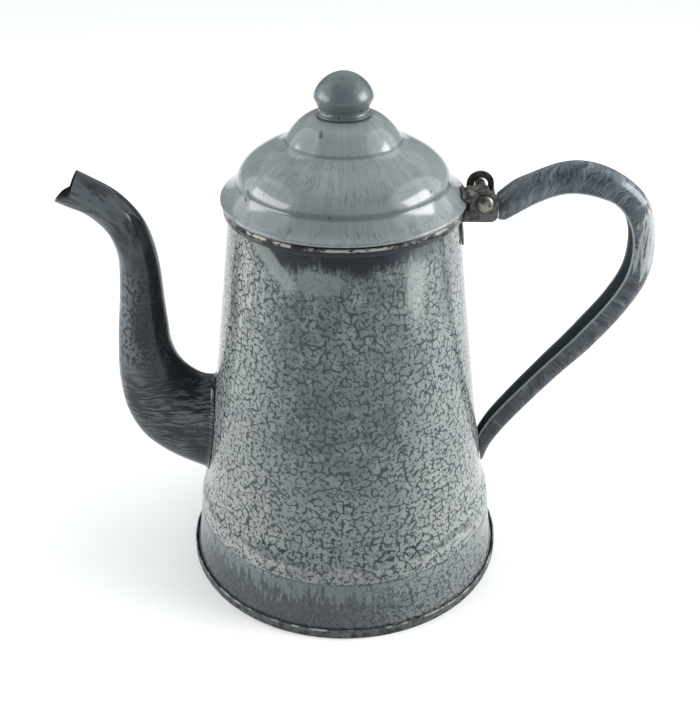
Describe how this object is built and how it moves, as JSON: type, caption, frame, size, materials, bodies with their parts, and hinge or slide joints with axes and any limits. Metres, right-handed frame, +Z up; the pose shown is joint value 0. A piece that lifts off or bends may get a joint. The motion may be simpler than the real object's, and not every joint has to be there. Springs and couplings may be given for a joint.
{
  "type": "enamel coffee pot",
  "caption": "Tall enamelled sheet-steel coffee pot with a gooseneck spout, a channel-section strap handle, and a domed lid with a knob, hinged at the mouth above the handle.",
  "frame": {"origin": "middle of the whole outline in X and Y, on the table under the foot", "axes": "+Z up, +X towards the handle, -X towards the spout's beak, +Y across, away from the side the pin's head is on"},
  "size_m": [0.2622, 0.1524, 0.2396],
  "materials": {
    "mottled_enamel": "glossy mottled pale grey-blue enamel with dark broken lines, chipped",
    "pale_enamel": "glossy pale grey enamel with combed streaks",
    "slate_enamel": "glossy slate grey enamel with darker bands",
    "black_enamel": "satin near-black enamel",
    "worn_enamel": "dark enamel worn to bare metal on its edges",
    "worn_steel": "worn, tarnished bare steel",
    "dark_steel": "brown-black oxidised steel"
  },
  "bodies": {
    "pot": {"pot_body": "mottled_enamel", "mouth_wire": "worn_steel", "bottom_pan": "worn_enamel", "spout": "slate_enamel", "handle_strap": "slate_enamel", "hinge_bracket": "black_enamel", "hinge_pin": "dark_steel"},
    "lid": {"lid_shell": "pale_enamel", "lid_collar": "pale_enamel", "lid_leaf": "worn_steel", "knob": "slate_enamel", "knob_rivet": "dark_steel"}
  },
  "joints": [
    {"name": "lid_hinge", "type": "hinge", "parent": "pot", "child": "lid", "pos_m": [0.05391, 0, 0.1871], "axis": [0, 1, 0], "range_deg": [0, 105]}
  ]
}
